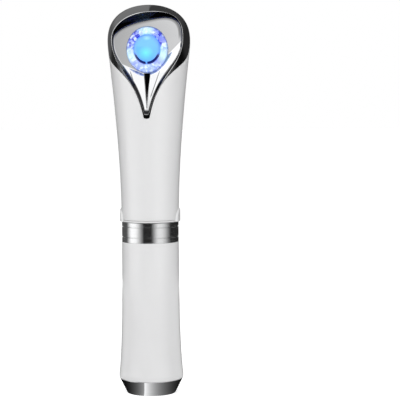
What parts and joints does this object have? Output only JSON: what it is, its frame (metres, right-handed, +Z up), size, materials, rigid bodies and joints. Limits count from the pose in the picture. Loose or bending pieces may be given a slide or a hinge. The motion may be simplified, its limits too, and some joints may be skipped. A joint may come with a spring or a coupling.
{
  "type": "heated eye massager wand",
  "caption": "Slim white heated eye massager wand with a drop-shaped chrome bezel, a lit lens in a crystal ring, a chrome trim ring and a chrome tail cap.",
  "frame": {"origin": "centre of the flat end of the tail cap", "axes": "+Z up the wand to its head, -Y out of the lit face, +X to the viewer's right when the lit face is seen from the front"},
  "size_m": [0.0306, 0.0283, 0.145],
  "materials": {
    "upper_shell": "smooth gloss white",
    "head_bezel": "mirror chrome plating",
    "crystal_ring": "clear faceted",
    "light_guide": "clear moulded",
    "heater_plate": "plain",
    "heat_sensor": "epoxy",
    "lamp_board": "solder mask",
    "lamps": "diffusing",
    "mode_switch": "moulded",
    "head_screws": "plain",
    "lens_button": "translucent, lit blue",
    "switch_plunger": "moulded",
    "chassis": "natural moulded",
    "main_board": "solder mask",
    "control_chip": "moulded",
    "boost_coil": "wound wire",
    "capacitors": "ceramic",
    "board_screws": "plain",
    "motor_can": "drawn can",
    "motor_clip": "natural moulded",
    "motor_shaft": "ground",
    "eccentric_weight": "sintered",
    "head_leads": "insulation",
    "motor_leads": "insulation",
    "battery_leads": "insulation",
    "positive_contact": "plain",
    "negative_contact": "plain",
    "neck_seal": "moulded",
    "retaining_clip": "plain",
    "collar": "smooth gloss white",
    "trim_ring": "chrome plating, faint turning marks",
    "handle_shell": "smooth gloss white",
    "tail_cap": "mirror chrome plating",
    "cap_seal": "moulded",
    "battery_sleeve": "natural moulded",
    "battery": "plain sleeve",
    "battery_spring": "spring wire",
    "ground_strip": "plain"
  },
  "bodies": {
    "head_unit": {"upper_shell": "upper_shell", "head_bezel": "head_bezel", "crystal_ring": "crystal_ring", "light_guide": "light_guide", "heater_plate": "heater_plate", "heat_sensor": "heat_sensor", "lamp_board": "lamp_board", "lamps": "lamps", "mode_switch": "mode_switch", "head_screws": "head_screws", "chassis": "chassis", "main_board": "main_board", "control_chip": "control_chip", "boost_coil": "boost_coil", "capacitors": "capacitors", "board_screws": "board_screws", "motor_can": "motor_can", "motor_clip": "motor_clip", "head_leads": "head_leads", "motor_leads": "motor_leads", "battery_leads": "battery_leads", "positive_contact": "positive_contact", "negative_contact": "negative_contact", "neck_seal": "neck_seal", "retaining_clip": "retaining_clip", "collar": "collar"},
    "lens": {"lens_button": "lens_button", "switch_plunger": "switch_plunger"},
    "rotor": {"motor_shaft": "motor_shaft", "eccentric_weight": "eccentric_weight"},
    "ring": {"trim_ring": "trim_ring"},
    "lower_handle": {"handle_shell": "handle_shell", "tail_cap": "tail_cap", "cap_seal": "cap_seal", "battery_sleeve": "battery_sleeve", "battery": "battery", "battery_spring": "battery_spring", "ground_strip": "ground_strip"}
  },
  "joints": [
    {"name": "lens_press", "type": "slide", "parent": "head_unit", "child": "lens", "axis": [0, 0.9903, -0.1392], "range_m": [0, 0.0006], "stiffness_N_per_m": 2000},
    {"name": "motor_spin", "type": "hinge", "parent": "head_unit", "child": "rotor", "pos_m": [0, 0, 0.108], "axis": [0, 0, 1], "continuous": true},
    {"name": "handle_twist", "type": "hinge", "parent": "head_unit", "child": "ring", "pos_m": [0, 0, 0.061], "axis": [0, 0, 1], "range_deg": [0, 60]},
    {"name": "handle_pull", "type": "slide", "parent": "ring", "child": "lower_handle", "axis": [0, 0, -1], "range_m": [0, 0.05]}
  ]
}
